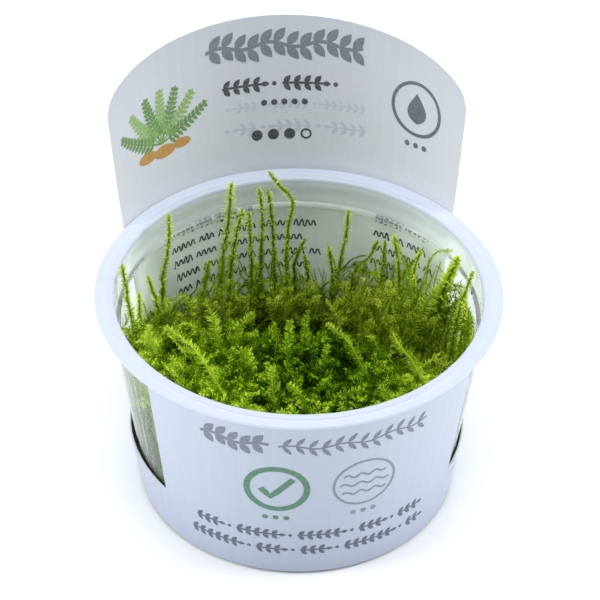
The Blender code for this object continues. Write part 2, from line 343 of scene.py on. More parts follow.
def core_material():
    """The inside of the cushion, seen only between the leaves, coloured near black as painted shade, and lighter and
    more olive where it meets the wall.
    """
    t = Tree("moss_core_painted_shade")
    p = t.place()
    clumps = t.noise(p, 700.0, 4.0, 0.7)
    fine = t.noise(p, 2600.0, 2.0, 0.6)
    colour = t.ramp(
        t.maths("ADD", t.maths("MULTIPLY", clumps, 0.7), t.maths("MULTIPLY", fine, 0.3)),
        [(0.35, (0.002, 0.010, 0.001)), (0.52, (0.008, 0.034, 0.002)), (0.68, (0.036, 0.100, 0.004))],
    )
    flat = t.add("VectorMath", operation="MULTIPLY")
    t.put(flat.inputs[0], p)
    flat.inputs[1].default_value = (1.0, 1.0, 0.0)
    reach = t.add("VectorMath", operation="LENGTH")
    t.put(reach.inputs[0], flat.outputs[0])
    at_wall = t.ramp(
        t.maths("ADD", t.maths("MULTIPLY", clumps, 0.7), t.maths("MULTIPLY", fine, 0.3)),
        [(0.35, (0.006, 0.010, 0.001)), (0.52, (0.040, 0.052, 0.006)), (0.68, (0.140, 0.170, 0.020))],
    )
    colour = t.mix(t.remap(reach.outputs["Value"], 0.036, 0.039, 0.0, 1.0), colour, at_wall)
    shader = t.add(
        "BsdfPrincipled",
        {"Base Color": colour, "Roughness": 0.8, "Specular IOR Level": 0.05, "Normal": t.bump(clumps, 0.8, 0.001)},
    )
    t.surface(shader.outputs[0])
    return t.mat


cup_look = cup_material()
card_look = card_material()
moss_look = moss_material()
core_painted_shade = core_material()
for node, look in (("cup", cup_look), ("label_sleeve", card_look)):
    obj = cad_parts[node]
    for slot in obj.material_slots:
        slot.material = look


# ---------------------------------------------------------------- mesh building
def build_mesh(name, points, faces, mat, attributes=None, uv=None, smooth=True):
    """Object from arrays: points (n, 3) in mm and triangles (m, 3)."""
    points = np.asarray(points, np.float64) * MM
    faces = np.asarray(faces, np.int32)
    mesh = bpy.data.meshes.new(name)
    mesh.vertices.add(len(points))
    mesh.vertices.foreach_set("co", points.astype(np.float32).ravel())
    mesh.loops.add(faces.size)
    mesh.loops.foreach_set("vertex_index", faces.ravel())
    mesh.polygons.add(len(faces))
    mesh.polygons.foreach_set("loop_start", np.arange(0, faces.size, 3, dtype=np.int32))
    mesh.update(calc_edges=True)
    if smooth:
        mesh.polygons.foreach_set("use_smooth", np.ones(len(faces), bool))
    for key, values in (attributes or {}).items():
        a = mesh.attributes.new(key, "FLOAT", "POINT")
        a.data.foreach_set("value", np.asarray(values, np.float32))
    if uv is not None:
        layer = mesh.uv_layers.new(name="OFBake")
        layer.data.foreach_set("uv", np.asarray(uv, np.float32)[faces.ravel()].ravel())
    mesh.materials.append(mat)
    mesh.validate()
    obj = bpy.data.objects.new(name, mesh)
    bpy.context.scene.collection.objects.link(obj)
    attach(obj, "root")
    return obj


# -------------------------------------------------------------- print on the card
class Print:
    """Thin closed slabs of ink laid on a face of the card."""

    def __init__(self, low, high):
        self.low, self.high = low, high
        self.v, self.f = [], []

    def strip(self, pairs, place, closed=False):
        """A band between two lines of points (u, v), as a slab."""
        n = len(pairs)
        base = len(self.v)
        for a, b in pairs:
            for p, lift in ((a, self.high), (b, self.high), (a, self.low), (b, self.low)):
                self.v.append(card_point(*place(*p), lift))
        for i in range(n if closed else n - 1):
            k, m = base + 4 * i, base + 4 * ((i + 1) % n)
            for q in ((k, m, m + 1, k + 1), (k + 2, k + 3, m + 3, m + 2), (k, k + 2, m + 2, m), (k + 1, m + 1, m + 3, k + 3)):
                self.f.append(q)
        if not closed:
            k, m = base, base + 4 * (n - 1)
            self.f.append((k, k + 1, k + 3, k + 2))
            self.f.append((m, m + 2, m + 3, m + 1))

    def leaf(self, place, u, v, angle, length, width, n=7):
        """Pointed leaf from (u, v) along an angle in degrees."""
        a = radians(angle)
        du, dv = cos(a), sin(a)
        pairs = []
        for i in range(n):
            t = i / (n - 1)
            w = max(0.03, width / 2 * sin(pi * t) ** 0.8 * (1.12 - 0.3 * t))
            cu, cv = u + du * length * t, v + dv * length * t
            pairs.append(((cu - dv * w, cv + du * w), (cu + dv * w, cv - du * w)))
        self.strip(pairs, place)

    def line(self, place, points, width):
        """Drawn line of even width through points."""
        pairs = []
        for i, (u, v) in enumerate(points):
            a, b = points[max(0, i - 1)], points[min(len(points) - 1, i + 1)]
            d = hypot(b[0] - a[0], b[1] - a[1]) or 1.0
            nu, nv = -(b[1] - a[1]) / d * width / 2, (b[0] - a[0]) / d * width / 2
            pairs.append(((u + nu, v + nv), (u - nu, v - nv)))
        self.strip(pairs, place)

    def ring(self, place, u, v, outer, inner, n=40):
        pairs = []
        for i in range(n):
            a = 2 * pi * i / n
            pairs.append(((u + outer * cos(a), v + outer * sin(a)), (u + inner * cos(a), v + inner * sin(a))))
        self.strip(pairs, place, closed=True)

    def disc(self, place, u, v, ru, rv, n=15):
        pairs = []
        for i in range(n):
            t = -cos(pi * (i + 0.35) / (n - 0.3))
            h = rv * sqrt(max(0.0, 1 - t * t))
            pairs.append(((u + ru * t, v + h), (u + ru * t, v - h)))
        self.strip(pairs, place)

    def rows(self, place, u0, u1, v, height, weight, rng, lengths=(3.0, 10.0)):
        """A row of small wavy strokes of uneven length."""
        u = u0
        pitch = height * 0.92
        while u < u1 - 1.6 * height:
            n = max(2, round(min(rng.uniform(*lengths), u1 - u) / pitch))
            swing = [height * (0.38 if rng.random() < 0.8 else 0.60) for _ in range(2 * n + 1)]
            pts = []
            for i in range(10 * n + 1):
                t = i / 10.0
                wave = -cos(2 * pi * t)
                wave = (abs(wave) ** 0.55) * (1 if wave > 0 else -1)
                pts.append((u + pitch * t, v + height * 0.5 + swing[int(2 * t)] * wave))
            self.line(place, pts, weight)
            u += pitch * n + 0.7 * height

    def sprigs(self, place, u0, u1, v, tall, rng, heavy=1.0, lengths=(7.0, 15.0)):
        """A row of short leafy sprigs with dots between them."""
        u = u0
        while u < u1 - 1.4 * tall:
            length = min(rng.uniform(*lengths), u1 - u)
            step = tall * 0.62
            n = max(1, int(length / step))
            self.line(place, [(u + (n * step) * i / (4 * n), v) for i in range(4 * n + 1)], 0.11 * tall * heavy)
            for k in range(n):
                for side in (1, -1):
                    self.leaf(place, u + k * step + 0.1 * tall, v + side * 0.03 * tall, side * 50, tall * 0.6, tall * 0.27 * heavy)
            self.leaf(place, u + n * step - 0.05 * tall, v, 0, tall * 0.5, tall * 0.26 * heavy)
            u += n * step + 0.75 * tall
            if u < u1 - 0.5 * tall:
                self.disc(place, u, v, 0.14 * tall, 0.14 * tall)
                u += 0.5 * tall

    def dots(self, place, u, v, radius, step, full, hollow=0):
        for k in range(full):
            self.disc(place, u + k * step, v, radius, radius)
        for k in range(full, full + hollow):
            self.ring(place, u + k * step, v, radius, radius * 0.66, 24)

    def finish(self, name, mat):
        bm = bmesh.new()
        vs = [bm.verts.new((x * MM, y * MM, z * MM)) for x, y, z in self.v]
        for q in self.f:
            bm.faces.new([vs[i] for i in q])
        bmesh.ops.recalc_face_normals(bm, faces=bm.faces)
        mesh = bpy.data.meshes.new(name)
        bm.to_mesh(mesh)
        bm.free()
        mesh.materials.append(mat)
        obj = bpy.data.objects.new(name, mesh)
        bpy.context.scene.collection.objects.link(obj)
        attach(obj, "root")
        return obj


def on_front(u, v):
    r = CARD_R0 + CARD + CUP_TAPER * v
    return degrees(u / r), v


def on_panel(u, v):
    """The face of the panel that looks over the cup; u runs to +X."""
    r = CARD_R0 + PANEL_TAPER * v
    return 180.0 + PANEL_TURN - degrees(u / r), v


def on_back(u, v):
    """The outside of the panel, seen from behind; u runs to -X."""
    r = CARD_R0 + CARD + PANEL_TAPER * v
    return 180.0 + PANEL_TURN + degrees(u / r), v


OUT_LOW, OUT_HIGH = CARD - 0.08, CARD + 0.03
IN_LOW, IN_HIGH = 0.02, -0.10


def garland(ink, place, u0, u1, v, tall, width, step, heavy=1.0):
    """Border of paired leaves along a gently waving stem."""
    n = int((u1 - u0) / 1.2)
    wave = lambda u: v + 0.10 * tall * sin(2 * pi * (u - u0) / (step * 4))
    ink.line(place, [(u0 + (u1 - u0) * i / n, wave(u0 + (u1 - u0) * i / n)) for i in range(n + 1)], 0.55 * heavy)
    u = u0 + step * 0.35
    while u < u1 - step * 0.4:
        for side in (1, -1):
            ink.leaf(place, u, wave(u) + side * 0.15, side * 52, tall * 0.62, width)
        u += step


def front_print():
    rng = np.random.default_rng(11)
    grey = Print(OUT_LOW, OUT_HIGH)
    garland(grey, on_front, -28.9, -11.6, 47.3, 6.4, 2.3, 3.1, 1.6)
    garland(grey, on_front, -9.4, 28.6, 47.3, 5.6, 1.25, 3.1, 0.9)
    grey.finish("print_front_garland", ink_material("ink_grey", "6F7686"))

    green = Print(OUT_LOW, OUT_HIGH)
    green.ring(on_front, -9.5, 31.8, 8.1, 6.5, 56)
    green.line(on_front, [(-13.4, 31.7), (-12.2, 30.3), (-10.9, 28.9), (-9.6, 30.5), (-7.6, 33.0), (-5.6, 35.6)], 1.7)
    green.dots(on_front, -12.1, 21.2, 0.75, 2.6, 3)
    green.finish("print_front_tick", ink_material("ink_green", "3E7A5C"))

    mark = Print(OUT_LOW, OUT_HIGH)
    mark.ring(on_front, 12.0, 32.0, 8.1, 7.45, 56)
    for i, half in enumerate((5.4, 6.2, 5.6)):
        v = 35.0 - 3.1 * i
        pts = [(12.0 - half + 2 * half * k / 18, v + 0.55 * sin(pi * k / 3)) for k in range(19)]
        mark.line(on_front, pts, 0.6)
    mark.dots(on_front, 9.4, 21.4, 0.75, 2.6, 3)
    mark.finish("print_front_waves", ink_material("ink_slate", "7C8394"))

    dark = Print(OUT_LOW, OUT_HIGH)
    dark.sprigs(on_front, -30.2, 31.0, 14.7, 3.5, rng, 1.25)
    dark.sprigs(on_front, -31.6, 30.4, 9.1, 3.5, rng, 1.25)
    dark.finish("print_front_rows", ink_material("ink_dark", "4A5266"))


def panel_print():
    rng = np.random.default_rng(23)
    grey = Print(IN_LOW, IN_HIGH)
    garland(grey, on_panel, -19.6, 20.9, 90.8, 7.4, 2.5, 3.35, 1.7)
    grey.finish("print_panel_garland", ink_material("ink_panel_grey", "6C717C"))

    dark = Print(IN_LOW, IN_HIGH)
    dark.sprigs(on_panel, -15.3, 18.4, 80.3, 4.2, rng, 1.3, (8.0, 12.0))
    dark.dots(on_panel, -4.4, 75.2, 0.8, 2.6, 5)
    dark.dots(on_panel, -6.3, 66.4, 1.45, 4.2, 3, 1)
    dark.finish("print_panel_rows", ink_material("ink_panel_dark", "3A3D45"))

    mark = Print(IN_LOW, IN_HIGH)
    cu, cv = 35.9, 78.6
    mark.ring(on_panel, cu, cv, 7.2, 6.35, 56)
    drop = []
    for i in range(13):
        t = i / 12.0
        w = max(0.04, 2.9 * sin(pi * t) ** 0.75 * (1.35 - 0.95 * t))
        drop.append(((cu - w, cv - 3.9 + 8.0 * t), (cu + w, cv - 3.9 + 8.0 * t)))
    mark.strip(drop, on_panel)
    mark.dots(on_panel, 33.3, 69.0, 0.7, 2.5, 3)
    mark.finish("print_panel_mark", ink_material("ink_panel_slate", "5A606C"))

    # a fan of fern fronds over a few pebbles
    frond = Print(IN_LOW, IN_HIGH)
    light = Print(IN_LOW, IN_HIGH)
    stone = Print(IN_LOW, IN_HIGH)
    fu, fv = -33.2, 71.4
    for k, angle in enumerate((14, 40, 66, 90, 114, 140, 166)):
        a = radians(angle)
        length = 15.5 if k in (0, 6) else 15.0 if k in (1, 5) else 14.5
        bend = radians((90 - angle) * 0.18)
        pts = []
        for i in range(13):
            t = i / 12.0
            b = a + bend * t
            pts.append((fu + length * t * cos(b), fv + length * t * sin(b)))
        ink = frond if k % 2 == 0 else light
        ink.line(on_panel, pts, 0.42)
        for i in range(2, 12):
            t = i / 12.0
            reach = 3.1 * (1 - 0.62 * t)
            b = degrees(a + bend * t)
            for side in (1, -1):
                ink.leaf(on_panel, *pts[i], b + side * 58, reach, 1.0, 5)
    for du, dv, ru, rv in ((-4.6, -1.9, 3.0, 1.5), (0.9, -2.3, 3.3, 1.7), (6.2, -1.8, 2.6, 1.3)):
        stone.disc(on_panel, fu + du, fv + dv, ru, rv)
    frond.finish("print_panel_fronds", ink_material("ink_fern", "5E8A40"))
    light.finish("print_panel_fronds_light", ink_material("ink_fern_light", "86AC5C"))
    stone.finish("print_panel_pebbles", ink_material("ink_amber", "B98A3C"))


def inner_print():
    """Small rows on the inside of the card, seen through the wall of the cup."""
    rng = np.random.default_rng(37)
    rows = Print(IN_LOW, IN_HIGH)

    def at(v):
        return CARD_R0 + PANEL_TAPER * v

    for k, z in enumerate((44.6, 40.6, 36.6, 32.6, 28.6, 24.6, 20.6)):
        weight = 0.60 if k == 0 else 0.40
        left0, left1 = radians(-38.5) * at(z), radians(13.0 - (22.0 if k == 0 else 2.5 * (k % 3))) * at(z)
        right0, right1 = radians(29.5) * at(z), radians(53.0) * at(z)
        rows.rows(on_panel, left0, left1, z, 1.65, weight, rng)
        rows.rows(on_panel, right0, right1, z + 0.2, 1.65, weight, rng)
    rows.finish("print_inside_rows", ink_material("ink_inside", "33363C", 0.10))


def back_print():
    """Rows on the outside of the panel; two of them show through as a ghost."""
    rows = Print(OUT_LOW, OUT_HIGH)
    for v, tall in ((74.6, 3.0), (68.6, 3.8)):
        rows.sprigs(on_back, -21.8, 19.4, v, tall, np.random.default_rng(41), 1.0, (6.0, 12.0))
    garland(rows, on_back, -30.0, 30.0, 88.5, 6.0, 1.7, 3.2, 1.1)
    rng = np.random.default_rng(43)
    for k, z in enumerate((58.0, 54.0, 50.0, 46.0, 42.0, 38.0, 34.0, 30.0)):
        weight = 0.55 if k == 0 else 0.36
        rows.rows(on_back, -38.0, -3.0 - 3.0 * (k % 3), z, 1.5, weight, rng)
        rows.rows(on_back, 4.0, 38.0 - 2.5 * (k % 4), z, 1.5, weight, rng)
    rows.finish("print_back_rows", ink_material("ink_back", "6A7282"))

    ghost = Print(0.01, -0.075)
    for v, tall in ((74.6, 3.0), (68.6, 3.8)):
        ghost.sprigs(lambda u, w: on_panel(-u, w), -21.8, 19.4, v, tall, np.random.default_rng(41), 1.0, (6.0, 12.0))
    ghost.finish("print_panel_ghost", ink_material("ink_ghost", "BCC2CE", 0.1))


front_print()
panel_print()
inner_print()
back_print()


# --------------------------------------------------------------------- the moss
class Growth:
    """Collects stems and leaves as triangles with a tone and a warmth each."""

    def __init__(self):
        self.p, self.f, self.tone, self.warm = [], [], [], []
        self.count = 0
        self.triangles = 0

    def add(self, points, faces, tone, warm):
        self.p.append(points)
        self.f.append(faces + self.count)
        self.tone.append(tone)
        self.warm.append(warm)
        self.count += len(points)
        self.triangles += len(faces)

    def finish(self, name, replaces):
        p = np.concatenate(self.p)
        tone = np.clip(np.concatenate(self.tone), 0, 1)
        warm = np.clip(np.concatenate(self.warm), 0, 1)
        p = inside_cup(p)
        obj = build_mesh(
            name, p, np.concatenate(self.f), moss_look, {"tone": tone, "warm": warm},
            uv=np.stack([0.02 + 0.96 * tone, 0.02 + 0.96 * warm], 1),
        )
        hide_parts(*replaces)
        return obj


def inside_cup(p):
    """Presses points that would pass through the wall flat against it."""
    z = p[:, 2]
    r = np.hypot(p[:, 0], p[:, 1])
    most = wall_in(z) - 0.12
    most = np.where((z > 47.0) & (z < 51.0), np.minimum(most, 43.5), most)
    most = np.where(z > 57.2, 1e9, most)
    scale = np.where(r > most, most / np.maximum(r, 1e-9), 1.0)
    out = p.copy()
    out[:, 0] *= scale
    out[:, 1] *= scale
    out[:, 2] = np.maximum(out[:, 2], FLOOR_TOP + 0.1)
    return out


def unit(v):
    return v / np.maximum(np.linalg.norm(v, axis=-1, keepdims=True), 1e-9)


def smooth_line(points, n):
    """n points evenly spaced by length on a Catmull-Rom curve."""
    p = np.asarray(points, float)
    if len(p) == 2:
        p = np.stack([p[0], p.mean(0), p[1]])
    ends = np.vstack([2 * p[0] - p[1], p, 2 * p[-1] - p[-2]])
    fine = []
    for k in range(len(p) - 1):
        a, b, c, d = ends[k : k + 4]
        t = np.linspace(0, 1, 12, endpoint=False)[:, None]
        fine.append(0.5 * (2 * b + (c - a) * t + (2 * a - 5 * b + 4 * c - d) * t**2 + (3 * b - a - 3 * c + d) * t**3))
    fine = np.vstack([*fine, p[-1:]])
    s = np.concatenate([[0], np.cumsum(np.linalg.norm(np.diff(fine, axis=0), axis=1))])
    at = np.linspace(0, s[-1], n)
    return np.stack([np.interp(at, s, fine[:, i]) for i in range(3)], 1), s[-1]


def frames(line):
    """Tangents and two crossing directions carried along a line."""
    tangent = unit(np.gradient(line, axis=0))
    side = np.cross(tangent[0], (0.31, 0.52, 0.79))
    if np.linalg.norm(side) < 0.1:
        side = np.cross(tangent[0], (1.0, 0.0, 0.0))
    sides = np.empty_like(line)
    for i in range(len(line)):
        side = side - tangent[i] * (side @ tangent[i])
        side = side / np.linalg.norm(side)
        sides[i] = side
    return tangent, sides, np.cross(tangent, sides)


def tube(g, line, radius, sides, tone, warm):
    tangent, a, b = frames(line)
    n = len(line)
    turn = np.linspace(0, 2 * pi, sides, endpoint=False)
    ring = a[:, None] * np.cos(turn)[None, :, None] + b[:, None] * np.sin(turn)[None, :, None]
    p = (line[:, None] + ring * np.asarray(radius).reshape(-1, 1, 1)).reshape(-1, 3)
    i, j = np.meshgrid(np.arange(n - 1), np.arange(sides), indexing="ij")
    k = (j + 1) % sides
    q0, q1, q2, q3 = i * sides + j, i * sides + k, (i + 1) * sides + k, (i + 1) * sides + j
    f = np.concatenate([np.stack([q0, q1, q2], -1).reshape(-1, 3), np.stack([q0, q2, q3], -1).reshape(-1, 3)])
    caps = [[0, s + 1, s] for s in range(1, sides - 1)]
    last = (n - 1) * sides
    caps += [[last, last + s, last + s + 1] for s in range(1, sides - 1)]
    f = np.concatenate([f, np.array(caps)])
    g.add(p, f, np.repeat(tone, sides), np.repeat(warm, sides))


def leaves(g, base, ahead, out, length, width, tone, warm, curl, detail):
    """Leaves as keeled blades: base point, direction of the stem, direction out
    of it, all (n, 3), and sizes (n,). detail 1 gives 2 triangles, 2 gives 8."""
    n = len(base)
    across = unit(np.cross(ahead, out))
    face = unit(np.cross(across, ahead))          # towards the stem's tip side
    L, W = length[:, None], width[:, None]
    if detail == 1:
        mid = base + ahead * L * 0.42
        lift = face * W * 0.28
        p = np.stack([base, mid + across * W / 2 + lift, base + ahead * L + face * L * curl[:, None], mid - across * W / 2 + lift], 1)
        f = np.array([[0, 2, 1], [0, 3, 2]])
        painted_leaf_shade = np.array([-0.16, 0.0, 0.14, 0.0])
    else:
        c = curl[:, None]
        m1 = base + ahead * L * 0.28 + face * L * c * 0.10
        m2 = base + ahead * L * 0.62 + face * L * c * 0.42
        l1, l2 = face * W * 0.26, face * W * 0.20
        p = np.stack(
            [
                base,
                m1 + across * W / 2 + l1, m1, m1 - across * W / 2 + l1,
                m2 + across * W * 0.36 + l2, m2, m2 - across * W * 0.36 + l2,
                base + ahead * L + face * L * c,
            ],
            1,
        )
        f = np.array([[0, 2, 1], [0, 3, 2], [1, 2, 5], [1, 5, 4], [2, 3, 6], [2, 6, 5], [4, 5, 7], [5, 6, 7]])
        painted_leaf_shade = np.array([-0.18, 0.02, -0.06, 0.02, 0.07, 0.0, 0.07, 0.16])
    # painted shade and light along each leaf: darker at its base by the stem, lighter towards its tip
    k = p.shape[1]
    faces = (f[None] + (np.arange(n) * k)[:, None, None]).reshape(-1, 3)
    g.add(p.reshape(-1, 3), faces, (tone[:, None] + painted_leaf_shade[None]).ravel(), np.repeat(warm, k))


def wavy(line, rng, swing):
    """Lets a stem wander a little to its sides between foot and tip."""
    n = len(line)
    t = np.linspace(0, 1, n)
    length = np.linalg.norm(np.diff(line, axis=0), axis=1).sum()
    out = line.copy()
    for axis in range(3):
        for turns in (length / 9.0, length / 4.5):
            out[:, axis] += swing / max(1.0, turns) ** 0.5 * np.sin(2 * pi * turns * t + rng.random() * 6.28) * np.sin(pi * np.minimum(t * 1.2, 1.0)) ** 0.5
    return out


def shoot(
    g, points, rng, leaf=(1.3, 1.0), width=0.26, step=0.17, spread=62.0, tip_spread=30.0, stem=(0.2, 0.1),
    tone=(0.45, 0.7), stem_tone=None, warm=(0.3, 0.3), detail=1, bare=0.0, sides=3, swing=0.15, jitter=8.0,
    rows=0.0, over=None, mottle=0.08,
):
    """A moss stem with its leaves, along points from foot to tip. Pairs are
    the values at the foot and at the tip. rows is the share of the leaves that
    stand in two rows, like a feather's, and over the way that the feather's
    flat side faces. mottle is how much the leaves differ in tone."""
    rough_line, length = smooth_line(points, 24)
    m = int(max(6, min(24, length / 1.1)))
    line, length = smooth_line(wavy(rough_line, rng, swing), m)
    tangent, a, b = frames(line)
    s_line = np.linspace(0, length, m)
    t_line = s_line / length
    near_tip = np.clip((length - s_line) / 0.7, 0.25, 1.0)
    radius = (stem[0] + (stem[1] - stem[0]) * t_line) * near_tip
    # painted shade: the stem's tone rises from its foot to its tip
    st = stem_tone if stem_tone is not None else (tone[0] - 0.12, tone[1] - 0.12)
    warmth = warm[0] + (warm[1] - warm[0]) * t_line
    tube(g, line, radius, sides, np.clip(st[0] + (st[1] - st[0]) * t_line, 0.02, 1), np.clip(warmth, 0, 1))
    start = bare * length
    body = np.arange(start, max(start, length - 1.2), step)
    tip = np.arange(max(start, length - 1.2), length + 0.01, step * 0.6)
    s = np.concatenate([body, tip])
    if len(s) < 2:
        return
    s = np.clip(s + rng.normal(0, step * 0.25, len(s)), 0, length)
    n = len(s)
    u = s / length

    def at(values):
        return np.stack([np.interp(s, s_line, values[:, i]) for i in range(3)], 1)

    turn = np.arange(n) * 2.39996 + rng.normal(0, 0.3, n) + rng.random() * 6.28
    T, A, B = unit(at(tangent)), unit(at(a)), unit(at(b))
    if rows:
        face = rng.random() * 6.28
        flat = over or (0.55 * cos(face), 0.55 * sin(face) - 0.45, 1.0)
        A = unit(np.cross(T, np.array(flat)))
        B = np.cross(T, A)
        turn = np.where(rng.random(n) < rows, np.arange(n) % 2 * pi + rng.normal(0, 0.32, n), turn)
    out = A * np.cos(turn)[:, None] + B * np.sin(turn)[:, None]
    near = np.clip((length - s) / 1.3, 0, 1)
    angle = np.radians(tip_spread + (spread - tip_spread) * near**0.6 + rng.normal(0, jitter, n))
    ahead = T * np.cos(angle)[:, None] + out * np.sin(angle)[:, None]
    size = (0.74 + 0.26 * near) * (0.82 + 0.36 * rng.random(n))
    L = (leaf[0] + (leaf[1] - leaf[0]) * u) * size * np.clip(s / max(length * 0.2, 0.5), 0.55, 1.0)
    W = width * (0.85 + 0.3 * rng.random(n)) * (0.85 + 0.15 * near)
    r_at = np.interp(s, s_line, radius) * 0.7
    base = at(line) + out * r_at[:, None]
    # painted shade and light: the callers give a tone that rises from foot to tip, so leaves low in the mat are
    # coloured darker and those at its top lighter
    t = tone[0] + (tone[1] - tone[0]) * u + rng.normal(0, mottle, n)
    w = np.clip(warm[0] + (warm[1] - warm[0]) * u + rng.normal(0, 0.08, n), 0, 1)
    leaves(g, base, unit(ahead), out, L, W, t, w, 0.08 + 0.16 * rng.random(n), detail)


# The tall shoots, each in place of its solid: foot (x, y), the points its stem
# passes, its tip, the half width of its leaves, and how bright it is.
TALL = (
    ("shoot_back_broad", (-17.5, 30.0), [(-16.4, 30.5, 43), (-14.9, 31, 54)], (-13.9, 32, 66.5), 1.8, 0.62),
    ("shoot_back_broad_twin", (-14.2, 27.8), [(-14.6, 28.4, 38), (-13.3, 29, 50)], (-11.4, 29.5, 60), 1.3, 0.54),
    ("shoot_back_slim", (-9.6, 28.6), [(-9.0, 29, 38), (-9.3, 30, 50)], (-9.6, 30.5, 58), 0.8, 0.56),
    ("shoot_back_pair_left", (-7.0, 32.4), [(-6.2, 33, 45), (-5.9, 34, 55)], (-6.8, 34.5, 62.5), 0.9, 0.62),
    ("shoot_back_pair_right", (-2.6, 32.0), [(-2.9, 33, 41), (-3.4, 34, 52)], (-4.4, 34.5, 61.8), 0.9, 0.58),
    ("shoot_back_hooked", (0.4, 28.4), [(0.0, 30.5, 42), (0.6, 31.5, 53), (1.6, 32, 60.5), (-1.2, 32.5, 64)], (-4.3, 33, 68.8), 0.9, 0.62),
    ("shoot_back_low_left", (-22.0, 30.0), [(-21.5, 31.0, 33)], (-19.6, 32.2, 42), 0.8, 0.56),
    ("shoot_back_low_middle", (6.9, 31.6), [(6.1, 32.4, 33)], (4.9, 33.0, 41.5), 0.7, 0.52),
    ("shoot_back_low_branch", (3.6, 33.4), [(2.4, 34.2, 35), (3.4, 34.8, 41)], (5.2, 35.0, 45.2), 0.7, 0.54),
    ("shoot_right_back_upright", (11.6, 31.4), [(14.0, 32.2, 39), (15.4, 33.2, 46.5)], (16.1, 34.0, 54.5), 1.0, 0.62),
    ("shoot_right_back_short", (10.8, 28.2), [(11.7, 28.8, 37)], (10.7, 29.6, 46.5), 0.8, 0.52),
    ("shoot_right_back_arched", (15.4, 30.0), [(17.6, 30.4, 37), (21.4, 30.6, 42)], (23.4, 31.0, 46.6), 0.7, 0.54),
    ("shoot_right_back_slim", (23.0, 28.4), [(24.6, 29.2, 38)], (25.2, 30.2, 47), 0.7, 0.56),
    ("shoot_right_plume", (28.0, 24.6), [(28.6, 26.6, 39)], (27.2, 28.6, 49.5), 1.1, 0.68),
    ("shoot_right_fan", (30.6, 21.6), [(31.6, 23.6, 39)], (33.6, 25.0, 47.5), 1.0, 0.64),
    ("shoot_right_broad", (35.4, 12.6), [(37.0, 13.2, 38), (38.4, 12.6, 46)], (40.7, 11.0, 55.8), 1.3, 0.78),
    ("shoot_right_rim", (38.6, 3.6), [(40.3, 4.4, 42), (42.0, 4.6, 50)], (43.6, 5.0, 56), 0.8, 0.70),
    ("shoot_right_edge", (40.3, -0.6), [(41.0, 0.8, 40)], (41.8, 1.4, 49), 0.7, 0.66),
    ("shoot_left_tall", (-32.2, 22.0), [(-32.0, 24.4, 43), (-30.2, 26.0, 53)], (-30.0, 27.0, 61.6), 1.1, 0.64),
    ("shoot_left_slim", (-32.4, 16.6), [(-34.2, 17.6, 42)], (-36.0, 18.0, 49.5), 0.7, 0.62),
    ("shoot_left_rim", (-39.4, 6.4), [(-41.0, 7.8, 47)], (-42.6, 8.4, 61.3), 0.9, 0.70),
    ("shoot_left_short", (-37.0, 10.4), [(-38.5, 10.6, 43)], (-38.6, 10.8, 50), 0.8, 0.72),
)


def tall_shoots():
    total = 0
    for k, (name, foot, middle, tip, reach, bright) in enumerate(TALL):
        rng = np.random.default_rng(500 + k)
        g = Growth()
        x, y = foot
        z0 = float(moss_height(x, y)) - 2.0
        points = [(x, y, z0), *middle, tip]
        points = wavy(smooth_line(points, 16)[0], rng, 0.22)
        if name == "shoot_right_broad":
            shoot(
                g, points, rng, leaf=(1.9, 0.8), width=0.40, step=0.12, spread=34, tip_spread=16, stem=(0.40, 0.20),
                tone=(0.38, 0.70), stem_tone=(0.32, 0.6), warm=(0.2, 0.26), detail=2, sides=6, swing=0.0,
            )
            shoot(
                g, points, rng, leaf=(4.0, 1.4), width=0.60, step=0.15, spread=60, tip_spread=22, stem=(0.3, 0.15),
                tone=(0.62, 1.0), warm=(0.24, 0.34), detail=2, swing=0.0, rows=0.6, over=(0.1, -1.0, 0.3),
            )
        else:
            # short leaves that hug the stem, then the tips that stand off it
            shoot(
                g, points, rng, leaf=(0.85, 0.75), width=0.33, step=0.11, spread=28, tip_spread=18,
                stem=(0.30, 0.24), tone=(bright - 0.14, bright + 0.04), stem_tone=(bright - 0.22, bright - 0.08),
                warm=(0.28, 0.42), detail=1, sides=5, swing=0.0,
            )
            shoot(
                g, points, rng, leaf=(0.72 + 0.72 * reach, 0.60 + 0.72 * reach), width=0.32, step=0.135, spread=74,
                tip_spread=46, stem=(0.2, 0.15), tone=(bright - 0.02, bright + 0.36),
                stem_tone=(bright - 0.2, bright - 0.06), warm=(0.28, 0.60), detail=2, swing=0.0, jitter=9.0, rows=0.4,
                over=(0.15, -1.0, 0.2),
            )
            # the leafier lower part
            low = smooth_line(points, 20)[0]
            low = low[: 8 + int(rng.integers(0, 4))]
            shoot(
                g, low, rng, leaf=(1.0 + 0.7 * reach, 0.7 + 0.4 * reach), width=0.28, step=0.11, spread=58,
                tip_spread=52, stem=(0.2, 0.1), tone=(bright - 0.34, bright - 0.02), warm=(0.25, 0.4), detail=1, swing=0.35,
            )
        g.finish("leafy_" + name[6:], [name])
        total += g.triangles
    print("tall shoots", total)


def arching(x, y, height, rng, reach, lean0, lean1, heading):
    """Points of a stem whose tip is at (x, y, height): it leaves its foot at
    lean0 degrees from upright and ends at lean1, heading towards an angle."""
    n = 5
    lean = np.radians(np.linspace(lean1, lean0, n))
    step = reach / (n - 1)
    p = [np.array([x, y, height], float)]
    for i in range(n - 1):
        mid = (lean[i] + lean[i + 1]) / 2
        d = np.array([sin(mid) * cos(heading), sin(mid) * sin(heading), cos(mid)])
        p.append(p[-1] - d * step)
    return p[::-1]


